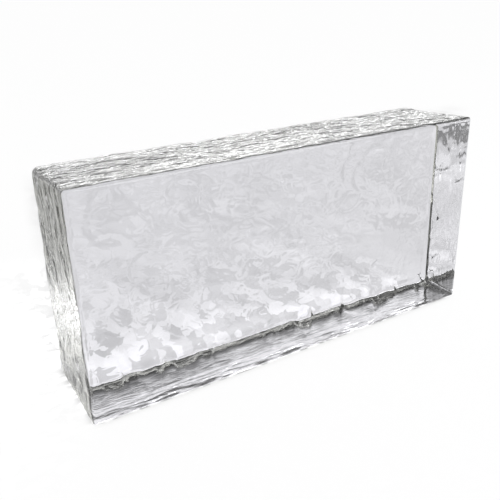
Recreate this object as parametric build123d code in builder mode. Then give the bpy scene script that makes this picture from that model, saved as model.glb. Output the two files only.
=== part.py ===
"""Solid cast glass brick in the standard brick format, standing on its long narrow side.

The brick is poured hot into an open mould. Its front face was the free surface of the melt
and is smooth, with a rim rounded by the fire. Its back face lay on the floor of the mould and
has the hammered pattern of that floor. The four sides have the draft that lets the brick
leave the mould, so the back is a little smaller than the front.

Millimetres. X runs along the length, Y from the smooth front to the hammered back, and Z up.
The origin is on the floor, under the middle of the brick.
"""

from build123d import *
import math
import os

# Driving dimensions of the brick
brick_length = 240.0
brick_height = 115.0
brick_thickness = 53.0
draft_angle = 1.0
corner_radius = 5.0
back_edge_radius = 3.0
front_rim_radius = 2.5

# Driving dimensions of the hammered pattern: round dimples that meet in ridges
dimple_pitch = 12.0
dimple_ball_radius = 34.0
ridge_sink = 0.2
depth_swing = 0.08
centre_swing = 0.6
plain_border = 0.5

# The lower side stands level, so the smooth front leans back by the draft angle
draft = math.radians(draft_angle)
back_inset = brick_thickness * math.tan(draft)


def rounding_loss(radius, first_tilt, second_tilt):
    """How far along Y the round edge between two faces stays behind their sharp corner.

    A face is given by the angle from Y to its outward normal.
    """
    sharp_reach = (math.cos(first_tilt) + math.cos(second_tilt)) * radius
    return sharp_reach / (1 + math.cos(first_tilt - second_tilt)) - radius


# The brick is as deep as its leaning front and its sloping top, less what its round edges lose
quarter_turn = math.pi / 2
sharp_depth = brick_height * math.sin(draft)
sharp_depth += brick_thickness * math.cos(2 * draft) / math.cos(draft)
front_loss = rounding_loss(front_rim_radius, draft, -quarter_turn)
back_loss = rounding_loss(back_edge_radius, -draft, quarter_turn - 2 * draft)
front_foot_y = -(sharp_depth + front_loss - back_loss) / 2

front_plane = Plane(
    origin=(
        0,
        front_foot_y + brick_height / 2 * math.sin(draft),
        brick_height / 2 * math.cos(draft),
    ),
    x_dir=(-1, 0, 0),
    z_dir=(0, math.cos(draft), -math.sin(draft)),
)
back_plane = front_plane.offset(brick_thickness)

# The dimples are so deep that the highest points, where three of them meet, lie just below
# the plain border of the back
farthest_point = dimple_pitch / math.sqrt(3)
ridge_height = dimple_ball_radius - math.sqrt(dimple_ball_radius**2 - farthest_point**2)
dimple_depth = ridge_height + ridge_sink
deepest = dimple_depth + depth_swing
widest_mouth = math.sqrt(deepest * (2 * dimple_ball_radius - deepest))
punch_radius = widest_mouth + plain_border


def dimple_groups():
    """Bottoms of the dimples, in three groups of which no two in a group touch.

    The dimples stand in staggered rows. A formula moves each a little and varies its depth.
    """
    across_room = brick_length / 2 - back_inset - back_edge_radius - plain_border
    up_room = brick_height / 2 - back_inset - back_edge_radius - plain_border
    across_reach = across_room - widest_mouth - centre_swing
    up_reach = up_room - widest_mouth - centre_swing
    row_pitch = dimple_pitch * math.sqrt(3) / 2
    rows = int(up_reach / row_pitch)
    groups = [[], [], []]
    for row in range(-rows, rows + 1):
        first = math.ceil(-across_reach / dimple_pitch - row / 2)
        last = math.floor(across_reach / dimple_pitch - row / 2)
        for step in range(first, last + 1):
            across = (step + row / 2) * dimple_pitch
            across += centre_swing * math.sin(3.1 * step - 0.9 * row)
            up = row * row_pitch + centre_swing * math.cos(1.9 * step + 2.3 * row)
            swing = math.sin(2.4 * step + 1.7 * row) * math.cos(1.1 * step - 2.9 * row)
            depth = dimple_depth + depth_swing * swing
            groups[(step - row) % 3].append((across, up, -depth))
    return groups


# The punch that leaves one dimple: a ball cut down to its nose, with the poles at its sides
with BuildPart() as punch:
    with Locations((0, 0, dimple_ball_radius)):
        Sphere(dimple_ball_radius, rotation=(90, 0, 0))
    Cylinder(punch_radius, 4 * deepest, mode=Mode.INTERSECT)

with BuildPart() as glass_block:
    with BuildSketch(front_plane):
        RectangleRounded(brick_length, brick_height, corner_radius)
    extrude(amount=brick_thickness, taper=draft_angle)
    front_face = glass_block.faces().sort_by(Axis.Y)[0]
    back_face = glass_block.faces().sort_by(Axis.Y)[-1]
    fillet(front_face.edges(), front_rim_radius)
    fillet(back_face.edges(), back_edge_radius)
    for group in dimple_groups():
        with Locations(back_plane):
            with Locations(*group):
                add(punch.part, mode=Mode.SUBTRACT)

glass_block.part.label = "glass_block"
os.makedirs("parts", exist_ok=True)
export_step(glass_block.part, "parts/glass_block.step")
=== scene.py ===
"""Looks of the solid cast glass brick: the relief of its surfaces, its clear glass, a studio.

The brick is meshed in its mould frame: across along the length, up along the height, and
depth from the smooth front to the hammered back. Lengths are in millimetres until
place() turns them into metres of the shared frame. The shading of the floor is laid out in
millimetres of the shared frame.
"""

import math

import bpy
import numpy as np
from mathutils import Matrix, Vector

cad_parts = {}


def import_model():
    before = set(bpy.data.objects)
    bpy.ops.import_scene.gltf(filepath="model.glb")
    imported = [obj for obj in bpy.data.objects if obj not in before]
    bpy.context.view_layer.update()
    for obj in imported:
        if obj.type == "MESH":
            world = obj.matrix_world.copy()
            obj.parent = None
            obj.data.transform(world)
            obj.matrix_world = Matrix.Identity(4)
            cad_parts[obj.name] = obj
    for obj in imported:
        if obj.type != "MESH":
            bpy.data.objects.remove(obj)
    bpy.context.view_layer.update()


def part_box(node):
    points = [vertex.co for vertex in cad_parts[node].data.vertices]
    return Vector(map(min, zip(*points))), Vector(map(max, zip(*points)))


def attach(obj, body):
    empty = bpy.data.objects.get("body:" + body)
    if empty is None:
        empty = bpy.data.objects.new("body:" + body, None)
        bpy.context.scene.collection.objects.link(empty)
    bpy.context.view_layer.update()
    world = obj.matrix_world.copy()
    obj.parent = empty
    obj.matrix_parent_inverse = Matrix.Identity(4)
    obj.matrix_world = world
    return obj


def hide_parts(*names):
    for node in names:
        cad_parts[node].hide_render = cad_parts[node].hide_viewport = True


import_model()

MM = 0.001
NODE = "glass_block"

# The brick, as in the source of its solid, but its front corners are sharper
brick_length = 240.0
brick_height = 115.0
brick_thickness = 53.0
draft = math.radians(1.0)
front_corner_radius = 2.0
back_corner_radius = 5.0
least_corner_radius = 0.8
front_rim_radius = 2.5
back_edge_radius = 3.0

# The mesh: steps along the length, the height, a corner, the sides and the round edges
columns = 276
rows = 130
corner_steps = 8
side_steps = 58
rim_steps = 4
back_edge_steps = 5

# The flat ring in front inside the rim, and the steps that draw the back's grid to its border
front_margin = 1.0
blend_steps = 14

# The hammered back: shallow round dimples that lap over each other like scales
dimple_pitch = 10.5
dimple_jitter = 3.4
dimple_least_radius = 6.0
dimple_most_radius = 9.5
dimple_ball_radius = 160.0
dimple_lean = 0.028
dimple_edge = 2.8
dimple_seed = 41

# A dimple may lean along both axes at once, so the highest rims rise by this many leans
dimple_rise = 1.4

# How deep the highest ridges lie, and the fine ripple over all
ridge_sink = 0.25
ripple_run = 4.0
ripple_height = 0.012
ripple_seed = 17

# The chill wrinkles of the four sides, which run round the brick at an even depth
bulge_run = 13.0
bulge_width = 5.0
bulge_height = 0.60
bulge_seed = 29
fold_run = 16.0
fold_width = 4.4
fold_height = 0.80
fold_seed = 7
swell_run = 38.0
swell_width = 17.0
swell_height = 0.45
swell_seed = 5
warp_run = 9.0
warp_reach = 2.4
warp_seed = 3

# The glass doesn't quite fill the back edge of the mould
edge_gap = 0.6
edge_reach = 4.5
edge_run = 6.0
edge_seed = 13

# The lower back edge is worn, jagged and chipped
foot_gap = 1.5
foot_reach = 12.0
foot_jag = 1.2
foot_jag_reach = 14.0
foot_jag_run = 9.0
foot_jag_seed = 23
foot_chip = 2.2
foot_chip_reach = 2.6
foot_chip_run = 6.0
foot_chip_gain = 1.3
foot_chip_share = 0.1
foot_chip_seed = 31

# The underside, behind its front stretch, and the right end are calmer than the other sides
foot_calm = 0.88
foot_calm_start = 6.0
foot_calm_run = 16.0
end_calm = 0.8

# The glass
glass_index = 1.52
glass_tint = (0.888, 0.882, 0.945, 1)
depth_colour = (0.785, 0.79, 0.74, 1)
depth_density = 10.0

# The fine crinkles of the chilled sides, which start behind the front
crinkle_start = 3.0
crinkle_full = 6.0
crinkle_run = 9.0
crinkle_width = 3.0
crinkle_height = 0.5
crinkle_detail = 0.6
crinkle_distortion = 0.8

# Weaker crinkles: in millimetres from the right end, and in shares of the height at the foot
end_border = (6.0, 3.0)
end_crinkles = 0.1
foot_border = (0.02, 0.06)
foot_crinkles = 0.35

# The faint haze of the chilled sides
haze_grain = 90.0
haze_detail = 2.0
haze_range = (0.45, 0.75)
most_haze = 0.02

# The floor, a disc just under the brick: its glow as seen by camera, mirror and glass rays
floor_reach = 8000.0
floor_drop = 0.05
floor_points = 96
floor_colour = (0.86, 0.86, 0.87, 1)
floor_white = 1.17
glow_share = 0.8

# The painted soft shadow behind the brick: its borders are bearings in degrees from a point that
# stands in for its lamp
shadow_lamp = (-186.0, -273.0)
shadow_left_border = (11.5, 14.0)
shadow_right_border = (48.0, 51.0)
shadow_start = (28.0, 60.0)
shadow_end = (330.0, 430.0)

# Its painted clouds of deeper and lighter shade: how many a metre holds along each axis, and which
# values spread over its depth
shadow_cloud_grain = (36.0, 24.0, 0.0)
shadow_cloud_range = (0.3, 0.7)
shadow_depth = (0.12, 0.25)

# Its painted flecks of light and shade, given in the same way
shadow_fleck_grain = (50.0, 32.0, 0.0)
shadow_fleck_range = (0.2, 0.8)
shadow_fleck_depth = 0.055

# Painted shade: the floor far behind on the left is darker, in two steps
left_slope = 0.194
left_first_step = (150.0, 200.0)
left_first_drop = 0.266
left_second_step = (235.0, 300.0)
left_second_drop = 0.57
left_start = (130.0, 180.0)
left_end = (400.0, 520.0)
left_border = (380.0, 500.0)

# The painted web of light that the brick would gather under itself, and its painted glare on the
# floor beside it on the left
web_grain = (120.0, 190.0, 0.0)
web_detail = 1.0
web_distortion = 0.5
web_range = (0.4, 0.6)
web_levels = (0.1, 2.2)
web_middle_reach = 75.0
web_middle_gain = 0.35
glare_place = (-163.0, 80.0)
glare_reach = (38.0, 75.0)
glare_strength = 3.2

# Painted light and shade: lighter and darker patches close behind the brick
patch_slope = 0.15
patch_grain = (135.0, 92.0, 0.0)
patch_range = (0.25, 0.75)
patch_levels = (-0.14, 0.37)
patch_start = (26.0, 30.0)
patch_fade = (36.0, 84.0)
patch_least = 0.4
patch_end = (110.0, 190.0)

# The floor under the brick, and the painted contact shadows, dark lines where its back and front
# edges touch down
brick_ends = (110.0, 122.0)
foot_edges = (24.0, 27.0)
back_contact_shadow = 25.0
back_contact_shadow_reach = 8.0
front_contact_shadow = -22.0
front_contact_shadow_reach = 5.0
front_contact_shadow_share = 0.7

# The surroundings: their brightness at some elevations in degrees
sky_brightest = 4.5
sky_horizon = ((0, 1.0), (7, 0.9), (9, 0.8))
sky_bright_strip = ((10, 4.1), (12.5, 4.1))
sky_middle = ((13.5, 0.8), (20, 0.8), (25, 1.1), (30, 1.0))
sky_overhead = ((34, 0.6), (40, 0.3), (60, 0.08), (90, 0.05))

# The side, to the right behind the brick, toward which the surroundings grow brighter
sky_brighter_side = math.radians(35)
sky_side_fade = (-0.3, 0.75)
sky_rise_fade = (0.05, 0.2)
sky_dimmest_share = 0.25


def hashed(ix, iy, iz, seed):
    """Numbers from -1 to 1 that look random, one for each lattice point."""
    mixed = ix * 374761393 + iy * 668265263 + iz * 1440662683 + seed * 974634777
    mixed &= 0xFFFFFFFF
    mixed = ((mixed ^ (mixed >> 13)) * 1274126177) & 0xFFFFFFFF
    return ((mixed ^ (mixed >> 16)) & 0xFFFF) / 32767.5 - 1.0


def noise(x, y, z, seed):
    """Smooth value noise from -1 to 1."""
    cell = [np.floor(v).astype(np.int64) for v in (x, y, z)]
    part = [v - c for v, c in zip((x, y, z), cell)]
    fade = [p * p * p * (p * (p * 6 - 15) + 10) for p in part]
    total = 0.0
    for dx in (0, 1):
        for dy in (0, 1):
            for dz in (0, 1):
                weight = fade[0] if dx else 1 - fade[0]
                weight = weight * (fade[1] if dy else 1 - fade[1])
                weight = weight * (fade[2] if dz else 1 - fade[2])
                total = total + weight * hashed(cell[0] + dx, cell[1] + dy, cell[2] + dz, seed)
    return total


def nearest_point(x, y, z, seed):
    """Distance to the nearest of some scattered points, one in each lattice cell."""
    cell = [np.floor(v).astype(np.int64) for v in (x, y, z)]
    scatter = 0.45
    too_far = 9.0
    nearest = np.full(len(x), too_far)
    for dx in (-1, 0, 1):
        for dy in (-1, 0, 1):
            for dz in (-1, 0, 1):
                ix, iy, iz = cell[0] + dx, cell[1] + dy, cell[2] + dz
                px = ix + 0.5 + scatter * hashed(ix, iy, iz, seed)
                py = iy + 0.5 + scatter * hashed(ix, iy, iz, seed + 1)
                pz = iz + 0.5 + scatter * hashed(ix, iy, iz, seed + 2)
                square = (x - px) ** 2 + (y - py) ** 2 + (z - pz) ** 2
                nearest = np.minimum(nearest, square)
    return np.sqrt(nearest)


def eased(share):
    """A share from 0 to 1, with a smooth start and end."""
    return share**2 * (3 - 2 * share)


def worn_foot(across, from_back):
    """How much of the underside is lost at the lower back edge, in millimetres."""
    zero = np.zeros(len(across))
    worn = np.maximum(1 - from_back / foot_reach, 0) ** 2
    jagged = np.exp(-((from_back / foot_jag_reach) ** 2))
    jagged = jagged * (noise(across / foot_jag_run, zero, zero, foot_jag_seed) + 1) / 2
    chipped = noise(across / foot_chip_run, zero, zero, foot_chip_seed)
    chipped = np.clip(foot_chip_gain * chipped + foot_chip_share, 0, 1)
    chipped = eased(chipped) * np.exp(-((from_back / foot_chip_reach) ** 2))
    return foot_gap * worn + foot_jag * jagged + foot_chip * chipped


def side_relief(across, up, depth, out_across, out_up):
    """Wrinkles of a side, at most 0: round bulges and folds, with sharp valleys between."""
    warp = noise(across / warp_run, up / warp_run, depth / warp_run, warp_seed)
    moved = depth + warp_reach * warp
    swell = noise(across / swell_run, up / swell_run, depth / swell_width, swell_seed)
    bulge = nearest_point(across / bulge_run, up / bulge_run, moved / bulge_width, bulge_seed)
    fold = noise(across / fold_run, up / fold_run, moved / fold_width, fold_seed)
    ragged = noise(across / edge_run, up / edge_run, depth / edge_run, edge_seed)
    from_back = brick_thickness - depth
    relief = swell_height * (swell - 1) / 2 - bulge_height * np.minimum(bulge**2, 1.0)
    relief += fold_height * (np.abs(fold) - 1) / 2
    relief -= edge_gap * np.exp(-((from_back / edge_reach) ** 2)) * (ragged + 1) / 2

    underside = np.maximum(-out_up, 0) ** 2
    right_end = np.maximum(out_across, 0) ** 2
    calm_foot = foot_calm * underside * np.clip((depth - foot_calm_start) / foot_calm_run, 0, 1)
    relief *= 1 - calm_foot - end_calm * right_end
    return relief - underside * worn_foot(across, from_back)


def back_relief(across, up):
    """Dimples of the back, at most 0. Each laps over those struck before and leans its own way."""
    row_pitch = dimple_pitch * math.sqrt(3) / 2
    reach_rows = int(brick_height / row_pitch / 2) + 1
    reach_steps = int(brick_length / dimple_pitch / 2) + 1
    strikes = [
        (row, step)
        for row in range(-reach_rows, reach_rows + 1)
        for step in range(-reach_steps, reach_steps + 1)
    ]
    chance = np.random.default_rng(dimple_seed)
    chance.shuffle(strikes)
    height = np.zeros(len(across))
    for row, step in strikes:
        moved = chance.uniform(-dimple_jitter, dimple_jitter, 2)
        radius = chance.uniform(dimple_least_radius, dimple_most_radius)
        lean = chance.uniform(-dimple_lean, dimple_lean, 2)
        off_across = across - (step + (row % 2) / 2) * dimple_pitch - moved[0]
        off_up = up - row * row_pitch - moved[1]
        square = off_across**2 + off_up**2
        bowl = lean[0] * off_across + lean[1] * off_up + square / (2 * dimple_ball_radius)
        cover = np.clip((radius - np.sqrt(square)) / dimple_edge + 0.5, 0, 1)
        height += (bowl - height) * eased(cover)
    highest = dimple_most_radius * dimple_lean * dimple_rise
    ripple = ripple_height * noise(across / ripple_run, up / ripple_run, 0 * up, ripple_seed)
    return np.minimum(height - highest + ripple, 0) - ridge_sink


def side_of_outline(steps, half_along, half_out, radius):
    """Points and outward normals of one side of a rounded rectangle, from corner to corner."""
    turn = np.linspace(math.pi / 4, 0, corner_steps // 2 + 1)
    straight = half_along - radius
    run = np.linspace(-straight, straight, steps - corner_steps + 1)[1:-1]
    along = np.concatenate([-straight - radius * np.sin(turn), run])
    along = np.concatenate([along, straight + radius * np.sin(turn[::-1])])
    flat = np.zeros(len(run))
    lean = np.concatenate([-np.sin(turn), flat, np.sin(turn[::-1])])
    out = half_out - radius + radius * np.sqrt(1 - lean**2)
    return along, out, lean


def outline(half_across, half_up, radius):
    """Closed outline as (across, up, normal across, normal up), from the lower left corner."""
    parts = []
    for turns in range(4):
        level = turns % 2 == 0
        steps = columns if level else rows
        sizes = (half_across, half_up) if level else (half_up, half_across)
        along, out, lean = side_of_outline(steps, sizes[0], sizes[1], radius)
        point = np.stack([along, -out], axis=1)
        normal = np.stack([lean, -np.sqrt(1 - lean**2)], axis=1)
        for _ in range(turns):
            point = np.stack([-point[:, 1], point[:, 0]], axis=1)
            normal = np.stack([-normal[:, 1], normal[:, 0]], axis=1)
        parts.append(np.concatenate([point, normal], axis=1)[:-1])
    return np.concatenate(parts)


def profile():
    """Rings from the front to the back: depth, inset, and shares of side and back relief."""
    rings = [(0.0, front_rim_radius + front_margin, 0.0, 0.0)]
    for turn in np.linspace(0, math.pi / 2, rim_steps + 1):
        depth = front_rim_radius * (1 - math.cos(turn))
        inset = front_rim_radius * (1 - math.sin(turn))
        rings.append((depth, inset, math.sin(turn) ** 3, 0.0))
    first = front_rim_radius
    last = brick_thickness - back_edge_radius
    for depth in np.linspace(first, last, side_steps + 1)[1:]:
        rings.append((depth, 0.0, 1.0, 0.0))
    for turn in np.linspace(math.pi / 2, 0, back_edge_steps + 1)[1:]:
        depth = brick_thickness - back_edge_radius * (1 - math.cos(turn))
        inset = back_edge_radius * (1 - math.sin(turn))
        rings.append((depth, inset, 1.0, math.cos(turn) ** 2))
    return rings


def ring_points(depth, inset, side_share, back_share):
    """One ring as rows of across, up and depth, with its relief."""
    shrink = depth * math.tan(draft) + inset
    mix = depth / brick_thickness
    radius = front_corner_radius + (back_corner_radius - front_corner_radius) * mix
    radius = max(radius - inset, least_corner_radius)
    flat = outline(brick_length / 2 - shrink, brick_height / 2 - shrink, radius)
    across, up, out_across, out_up = flat.T
    level = np.full(len(flat), depth)
    relief = side_share * side_relief(across, up, level, out_across, out_up)
    across = across + relief * out_across
    up = up + relief * out_up
    if back_share > 0:
        level += back_share * back_relief(across, up)
    return np.stack([across, up, level], axis=1)


def back_points(ring):
    """Inner points of the back: an even grid, drawn to the ring along its border."""
    shrink = brick_thickness * math.tan(draft) + back_edge_radius
    half_across = brick_length / 2 - shrink
    half_up = brick_height / 2 - shrink
    grid = np.zeros((rows + 1, columns + 1, 2))
    grid[:, :, 0] = np.linspace(-half_across, half_across, columns + 1)[None, :]
    grid[:, :, 1] = np.linspace(-half_up, half_up, rows + 1)[:, None]

    # How far the four sides of the ring lie from those of the grid
    edge = ring[:, :2]
    low = edge[: columns + 1] - grid[0]
    right = edge[columns : columns + rows + 1] - grid[:, -1]
    top = edge[columns + rows : 2 * columns + rows + 1][::-1] - grid[-1]
    left = np.concatenate([edge[2 * columns + rows :], edge[:1]])[::-1] - grid[:, 0]

    # The shares of a side's shift fade away from it, and a corner's shift counts only once
    near_left, near_low = (
        eased(np.clip(1 - np.arange(steps + 1) / blend_steps, 0, 1)) for steps in (columns, rows)
    )
    near_left = near_left[None, :, None]
    near_low = near_low[:, None, None]
    near_right = near_left[:, ::-1]
    near_top = near_low[::-1]
    points = grid + near_low * low[None] + near_top * top[None]
    points += near_left * left[:, None] + near_right * right[:, None]
    points -= near_low * (near_left * low[0] + near_right * low[-1])
    points -= near_top * (near_left * top[0] + near_right * top[-1])
    across, up = points[1:-1, 1:-1].reshape(-1, 2).T
    return np.stack([across, up, brick_thickness + back_relief(across, up)], axis=1)


def back_faces(ring_start, inner_start):
    """Quads of the back between its ring and its inner points."""
    index = np.zeros((rows + 1, columns + 1), dtype=np.int64)
    ring = ring_start + np.arange(2 * (columns + rows))
    index[0] = ring[: columns + 1]
    index[:, columns] = ring[columns : columns + rows + 1]
    index[rows] = ring[columns + rows : 2 * columns + rows + 1][::-1]
    index[1:, 0] = ring[2 * columns + rows :][::-1]
    inner = inner_start + np.arange((rows - 1) * (columns - 1))
    index[1:-1, 1:-1] = inner.reshape(rows - 1, columns - 1)
    quads = np.stack([index[:-1, :-1], index[1:, :-1], index[1:, 1:], index[:-1, 1:]], axis=2)
    return quads.reshape(-1, 4)


def brick_surface():
    """Points of the brick and its faces: one polygon in front, quads on the sides and back."""
    rings = [ring_points(*ring) for ring in profile()]
    count = len(rings[0])
    here = np.arange(count)
    ahead = np.roll(here, -1)
    faces = [here.tolist()]
    for level in range(len(rings) - 1):
        near = level * count
        far = near + count
        band = np.stack([near + ahead, near + here, far + here, far + ahead], axis=1)
        faces += band.tolist()
    ring_total = count * len(rings)
    faces += back_faces(ring_total - count, ring_total).tolist()
    return np.concatenate(rings + [back_points(rings[-1])]), faces


def place(points):
    """Mould frame in millimetres to the shared frame in metres: the brick stands on its side."""
    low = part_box(NODE)[0]
    foot = np.array([0.0, low[1] / MM, 0.0])
    up_way = np.array([0.0, math.sin(draft), math.cos(draft)])
    depth_way = np.array([0.0, math.cos(draft), -math.sin(draft)])
    across_way = np.array([1.0, 0.0, 0.0])
    spot = foot + points[:, :1] * across_way + points[:, 2:3] * depth_way
    spot = spot + (points[:, 1:2] + brick_height / 2) * up_way
    return spot * MM


def make_brick():
    """The whole brick as one closed mesh."""
    points, faces = brick_surface()
    mesh = bpy.data.meshes.new("cast_glass_brick")
    mesh.from_pydata(place(points).tolist(), [], faces)
    mesh.polygons.foreach_set("use_smooth", [True] * len(faces))
    mesh.update()
    brick = bpy.data.objects.new("cast_glass_brick", mesh)
    bpy.context.scene.collection.objects.link(brick)
    return brick


def calc(tree, operation, *values):
    """One Math node. A value is a number or an output of another node."""
    node = tree.nodes.new("ShaderNodeMath")
    node.operation = operation
    for socket, value in zip(node.inputs, values):
        if isinstance(value, (int, float)):
            socket.default_value = value
        else:
            tree.links.new(value, socket)
    return node.outputs[0]


def product(tree, *factors):
    """The product of several values."""
    total = factors[0]
    for factor in factors[1:]:
        total = calc(tree, "MULTIPLY", total, factor)
    return total


def rest_of(tree, share):
    """What a share leaves of 1."""
    return calc(tree, "SUBTRACT", 1.0, share)


def between(tree, value, low, high, start=0.0, end=1.0):
    """A smooth step of a value from start at low to end at high."""
    node = tree.nodes.new("ShaderNodeMapRange")
    node.interpolation_type = "SMOOTHSTEP"
    for name, number in (("From Min", low), ("From Max", high), ("To Min", start), ("To Max", end)):
        node.inputs[name].default_value = number
    tree.links.new(value, node.inputs["Value"])
    return node.outputs["Result"]


def before(tree, value, low, high):
    """A smooth step of a value from 1 at low to 0 at high."""
    return between(tree, value, low, high, 1.0, 0.0)


def bell(tree, value, middle, reach):
    """A smooth hump of a value: 1 at the middle, and next to nothing past the reach."""
    away = calc(tree, "DIVIDE", calc(tree, "SUBTRACT", value, middle), reach)
    return calc(tree, "EXPONENT", product(tree, away, away, -2.0))


def scaled(tree, vector, scale):
    """A vector times a number for each axis."""
    node = tree.nodes.new("ShaderNodeVectorMath")
    node.operation = "MULTIPLY"
    tree.links.new(vector, node.inputs[0])
    node.inputs[1].default_value = scale
    return node.outputs[0]


def noise_node(tree, vector, detail, distortion=0.0):
    """A noise texture at scale 1 of the given coordinates."""
    node = tree.nodes.new("ShaderNodeTexNoise")
    node.inputs["Scale"].default_value = 1.0
    node.inputs["Detail"].default_value = detail
    node.inputs["Distortion"].default_value = distortion
    tree.links.new(vector, node.inputs["Vector"])
    return node.outputs["Fac"]


def mosaic_node(tree, vector):
    """Roundish cells of the given coordinates, each of one level from 0 to 1."""
    bend_grain = 1.6
    bend_reach = 1.1
    bend = tree.nodes.new("ShaderNodeTexNoise")
    bend.inputs["Scale"].default_value = bend_grain
    bend.inputs["Detail"].default_value = 0.0
    tree.links.new(vector, bend.inputs["Vector"])
    bent = tree.nodes.new("ShaderNodeVectorMath")
    bent.operation = "MULTIPLY_ADD"
    bent.inputs[1].default_value = (bend_reach, bend_reach, 0.0)
    tree.links.new(bend.outputs["Color"], bent.inputs[0])
    tree.links.new(vector, bent.inputs[2])
    node = tree.nodes.new("ShaderNodeTexVoronoi")
    node.inputs["Scale"].default_value = 1.0
    tree.links.new(bent.outputs[0], node.inputs["Vector"])
    parts = tree.nodes.new("ShaderNodeSeparateColor")
    tree.links.new(node.outputs["Color"], parts.inputs[0])
    return parts.outputs[0]


def chilled_share(tree, spot):
    """How chilled the glass is: not on the smooth front, less on the right end and below."""
    parts = tree.nodes.new("ShaderNodeSeparateXYZ")
    tree.links.new(spot, parts.inputs[0])
    low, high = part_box(NODE)
    front_y, right_x, top_z = low[1], high[0], high[2]
    first_y, full_y = front_y + crinkle_start * MM, front_y + crinkle_full * MM
    behind = between(tree, parts.outputs["Y"], first_y, full_y)
    first_x, last_x = (right_x - border * MM for border in end_border)
    at_end = between(tree, parts.outputs["X"], first_x, last_x, 1.0, end_crinkles)
    first_z, last_z = (border * top_z for border in foot_border)
    at_foot = between(tree, parts.outputs["Z"], first_z, last_z, foot_crinkles, 1.0)
    return product(tree, behind, calc(tree, "MULTIPLY", at_end, at_foot))


def glass_material():
    """Clear cast glass with fine crinkles on its chilled sides and a faint yellow-green depth."""
    material = bpy.data.materials.new("clear_cast_glass")
    material.use_nodes = True
    tree = material.node_tree
    link = tree.links.new
    shader = tree.nodes["Principled BSDF"]
    shader.inputs["Base Color"].default_value = glass_tint
    shader.inputs["Transmission Weight"].default_value = 1.0
    shader.inputs["IOR"].default_value = glass_index

    spot = tree.nodes.new("ShaderNodeTexCoord").outputs["Object"]
    chilled = chilled_share(tree, spot)
    run = 1 / (crinkle_run * MM)
    width = 1 / (crinkle_width * MM)
    grain = scaled(tree, spot, (run, width, run))
    crinkles = noise_node(tree, grain, crinkle_detail, crinkle_distortion)
    crinkles = calc(tree, "ABSOLUTE", calc(tree, "SUBTRACT", crinkles, 0.5))
    bump = tree.nodes.new("ShaderNodeBump")
    bump.inputs["Distance"].default_value = crinkle_height * MM
    link(product(tree, crinkles, chilled), bump.inputs["Height"])
    link(bump.outputs["Normal"], shader.inputs["Normal"])
    haze = scaled(tree, spot, (haze_grain, haze_grain, haze_grain))
    haze = between(tree, noise_node(tree, haze, haze_detail), *haze_range, 0.0, most_haze)
    link(product(tree, haze, chilled), shader.inputs["Roughness"])

    tint = tree.nodes.new("ShaderNodeVolumeAbsorption")
    tint.inputs["Color"].default_value = depth_colour
    tint.inputs["Density"].default_value = depth_density
    link(tint.outputs[0], tree.nodes["Material Output"].inputs["Volume"])
    return material


def shadow_share(tree, x, y):
    """The painted soft shadow behind the brick, from 0 to 1, between two bearings from the point of
    its lamp.
    """
    from_lamp_x = calc(tree, "SUBTRACT", x, shadow_lamp[0])
    from_lamp_y = calc(tree, "SUBTRACT", y, shadow_lamp[1])
    bearing = calc(tree, "DEGREES", calc(tree, "ARCTAN2", from_lamp_x, from_lamp_y))
    return product(
        tree,
        between(tree, bearing, *shadow_left_border),
        before(tree, bearing, *shadow_right_border),
        between(tree, y, *shadow_start),
        before(tree, y, *shadow_end),
    )


def far_left_shade_share(tree, x, y):
    """How much painted shade darkens the floor far behind on the left."""
    leftward = calc(tree, "SUBTRACT", product(tree, y, left_slope), x)
    first = between(tree, leftward, *left_first_step, 0.0, left_first_drop)
    second = between(tree, leftward, *left_second_step, 0.0, left_second_drop)
    return product(
        tree,
        calc(tree, "ADD", first, second),
        between(tree, y, *left_start),
        before(tree, y, *left_end),
        before(tree, leftward, *left_border),
    )


def gathered_light(tree, spot, x):
    """The painted web of light that the wrinkled glass would throw on the floor."""
    web = noise_node(tree, scaled(tree, spot, web_grain), web_detail, web_distortion)
    web = between(tree, web, *web_range, *web_levels)
    middle = product(tree, bell(tree, x, 0, web_middle_reach), web_middle_gain)
    return product(tree, web, calc(tree, "ADD", 1.0, middle))


def near_light_and_shade_patches(tree, spot, x, y):
    """Painted light and shade: lighter and darker patches of the floor close behind the brick,
    which fade backwards.
    """
    slant = calc(tree, "ADD", y, product(tree, x, patch_slope))
    light_and_shade_patch = mosaic_node(tree, scaled(tree, spot, patch_grain))
    return product(
        tree,
        between(tree, light_and_shade_patch, *patch_range, *patch_levels),
        between(tree, slant, *patch_fade, 1.0, patch_least),
        between(tree, y, *patch_start),
        before(tree, slant, *patch_end),
    )


def contact_shadow_share(tree, y):
    """The painted contact shadows: dark lines where the back edge and the front edge of the brick
    touch the floor.
    """
    back_shadow_line = bell(tree, y, back_contact_shadow, back_contact_shadow_reach)
    front_shadow_line = bell(tree, y, front_contact_shadow, front_contact_shadow_reach)
    return calc(tree, "MAXIMUM", back_shadow_line, product(tree, front_shadow_line, front_contact_shadow_share))


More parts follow.
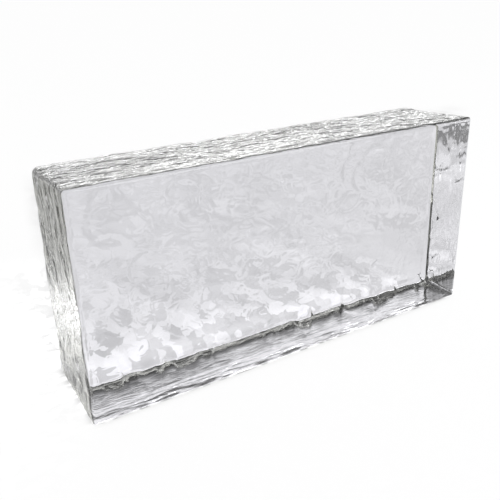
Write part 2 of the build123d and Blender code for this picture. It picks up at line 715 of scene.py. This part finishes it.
def floor_tone(tree):
    """How light the floor is: white, with painted shadow, light and shade, such as the soft shadow
    and the gathered light of the brick.
    """
    spot = tree.nodes.new("ShaderNodeTexCoord").outputs["Object"]
    parts = tree.nodes.new("ShaderNodeSeparateXYZ")
    tree.links.new(scaled(tree, spot, (1 / MM, 1 / MM, 1 / MM)), parts.inputs[0])
    x = parts.outputs["X"]
    y = parts.outputs["Y"]
    beside = before(tree, calc(tree, "ABSOLUTE", x), *brick_ends)

    # Painted soft shadow behind the brick, deeper in some clouds than in others
    shadow = shadow_share(tree, x, y)
    shadow_cloud = noise_node(tree, scaled(tree, spot, shadow_cloud_grain), 0.0)
    shadow_cloud = between(tree, shadow_cloud, *shadow_cloud_range, *shadow_depth)
    tone = calc(tree, "SUBTRACT", floor_white, product(tree, shadow, shadow_cloud))
    # Painted shade on the floor far behind on the left
    tone = product(tree, tone, rest_of(tree, far_left_shade_share(tree, x, y)))

    # Painted web of light, and a painted glare of it on the floor beside the brick on the left
    web = gathered_light(tree, spot, x)
    glare_across = bell(tree, x, glare_place[0], glare_reach[0])
    glare_behind = bell(tree, y, glare_place[1], glare_reach[1])
    glare = product(tree, glare_across, glare_behind, web, glare_strength)
    tone = calc(tree, "ADD", tone, glare)
    # Painted patches of light and shade close behind the brick
    tone = calc(tree, "ADD", tone, product(tree, near_light_and_shade_patches(tree, spot, x, y), beside))
    # Painted flecks of light and shade within the painted shadow
    shadow_fleck = mosaic_node(tree, scaled(tree, spot, shadow_fleck_grain))
    shadow_fleck = between(tree, shadow_fleck, *shadow_fleck_range, -shadow_fleck_depth, shadow_fleck_depth)
    tone = calc(tree, "ADD", tone, product(tree, shadow_fleck, shadow))

    # Under the brick the floor shows the painted web of light instead
    under = product(tree, before(tree, calc(tree, "ABSOLUTE", y), *foot_edges), beside)
    seen_past = product(tree, tone, rest_of(tree, under))
    tone = calc(tree, "ADD", seen_past, product(tree, web, under))
    # Painted contact shadows along the back and front edges of the brick
    contact_shadow = product(tree, contact_shadow_share(tree, y), beside)
    return product(tree, tone, rest_of(tree, contact_shadow))


def floor_material():
    """Pale floor: white to camera, mirror and glass rays, with painted shadow, light and shade in
    its glow; its matte part keeps the real soft shadow.
    """
    material = bpy.data.materials.new("pale_floor")
    material.use_nodes = True
    tree = material.node_tree
    tree.nodes.clear()
    link = tree.links.new
    path = tree.nodes.new("ShaderNodeLightPath").outputs
    seen = calc(tree, "MAXIMUM", path["Is Camera Ray"], path["Is Glossy Ray"])
    seen = calc(tree, "MAXIMUM", seen, path["Is Transmission Ray"])
    matte = tree.nodes.new("ShaderNodeBsdfDiffuse")
    matte.inputs["Color"].default_value = floor_colour
    glow = tree.nodes.new("ShaderNodeEmission")
    link(floor_tone(tree), glow.inputs["Strength"])
    mix = tree.nodes.new("ShaderNodeMixShader")
    link(product(tree, seen, glow_share), mix.inputs[0])
    link(matte.outputs[0], mix.inputs[1])
    link(glow.outputs[0], mix.inputs[2])
    out = tree.nodes.new("ShaderNodeOutputMaterial")
    link(mix.outputs[0], out.inputs["Surface"])
    return material


def make_floor():
    """A wide level disc under the brick."""
    reach = floor_reach * MM
    mesh = bpy.data.meshes.new("floor")
    ring = [
        (reach * math.cos(turn), reach * math.sin(turn), -floor_drop * MM)
        for turn in np.linspace(0, 2 * math.pi, floor_points, endpoint=False)
    ]
    mesh.from_pydata(ring, [], [list(range(len(ring)))])
    floor = bpy.data.objects.new("floor", mesh)
    bpy.context.scene.collection.objects.link(floor)
    mesh.materials.append(floor_material())


def sky_level(tree, rise):
    """Brightness of the surroundings by the sine of the elevation."""
    levels = sky_horizon + sky_bright_strip + sky_middle + sky_overhead
    node = tree.nodes.new("ShaderNodeFloatCurve")
    curve = node.mapping.curves[0]
    for _ in range(len(levels) - 2):
        curve.points.new(0.5, 0.5)
    for point, (elevation, level) in zip(curve.points, levels):
        point.location = (math.sin(math.radians(elevation)), level / sky_brightest)
        point.handle_type = "VECTOR"
    node.mapping.update()
    tree.links.new(rise, node.inputs["Value"])
    return product(tree, node.outputs[0], sky_brightest)


def make_world():
    """Studio surroundings: white at the horizon, a bright strip above it, dark overhead.

    Away from the horizon they are brightest to the right behind the brick.
    """
    world = bpy.data.worlds.new("studio")
    bpy.context.scene.world = world
    world.use_nodes = True
    tree = world.node_tree
    way = tree.nodes.new("ShaderNodeTexCoord").outputs["Generated"]
    parts = tree.nodes.new("ShaderNodeSeparateXYZ")
    tree.links.new(way, parts.inputs[0])
    rise = parts.outputs["Z"]

    across = product(tree, parts.outputs["X"], math.sin(sky_brighter_side))
    behind = product(tree, parts.outputs["Y"], math.cos(sky_brighter_side))
    toward = calc(tree, "ADD", across, behind)
    side = between(tree, toward, *sky_side_fade, sky_dimmest_share, 1.0)
    high = between(tree, rise, *sky_rise_fade)
    side = calc(tree, "ADD", product(tree, side, high), rest_of(tree, high))
    background = tree.nodes["Background"]
    background.inputs["Color"].default_value = (1, 1, 1, 1)
    tree.links.new(product(tree, sky_level(tree, rise), side), background.inputs["Strength"])


def way_from_brick(azimuth, elevation):
    """Unit vector at two angles in degrees. Azimuth 0 is in front of the brick, 90 to its right."""
    turn = math.radians(azimuth)
    rise = math.radians(elevation)
    level = math.cos(rise)
    return Vector((math.sin(turn) * level, -math.cos(turn) * level, math.sin(rise)))


def add_softbox(name, azimuth, elevation, distance, width, radiance):
    """A square lamp that faces the brick, with its distance and width in metres."""
    way = way_from_brick(azimuth, elevation)
    lamp = bpy.data.lights.new(name, "AREA")
    lamp.shape = "SQUARE"
    lamp.size = width
    lamp.energy = radiance * math.pi * width * width
    box = bpy.data.objects.new(name, lamp)
    box.location = way * distance + Vector((0, 0, brick_height / 2 * MM))
    box.rotation_euler = way.to_track_quat("Z", "Y").to_euler()
    bpy.context.scene.collection.objects.link(box)


def make_camera():
    """The photograph's view, found from the brick's outline and its refracted back edges."""
    azimuth = -31.912
    elevation = 23.183
    roll = math.radians(-0.902)
    distance = 358.832
    aside = -13.585
    above = -5.785
    focal_pixels = 653.6
    frame_pixels = 500.0
    sensor = 36.0
    back = way_from_brick(azimuth, elevation)
    right = Vector((0, 0, 1)).cross(back).normalized()
    up = back.cross(right)
    right, up = (
        math.cos(roll) * right + math.sin(roll) * up,
        math.cos(roll) * up - math.sin(roll) * right,
    )
    spot = Vector((0, 0, brick_height / 2)) + distance * back + aside * right + above * up
    data = bpy.data.cameras.new("camera")
    data.sensor_width = sensor
    data.lens = focal_pixels / frame_pixels * sensor
    data.clip_start = 0.01
    camera = bpy.data.objects.new("camera", data)
    axes = Matrix((right, up, back)).transposed()
    camera.matrix_world = Matrix.Translation(spot * MM) @ axes.to_4x4()
    bpy.context.scene.collection.objects.link(camera)
    bpy.context.scene.camera = camera


brick = make_brick()
brick.data.materials.append(glass_material())
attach(brick, "root")
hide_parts(NODE)

make_floor()
make_world()
add_softbox("key", azimuth=30, elevation=27, distance=1.3, width=0.7, radiance=2.6)
make_camera()

bpy.context.scene.view_settings.view_transform = "Standard"
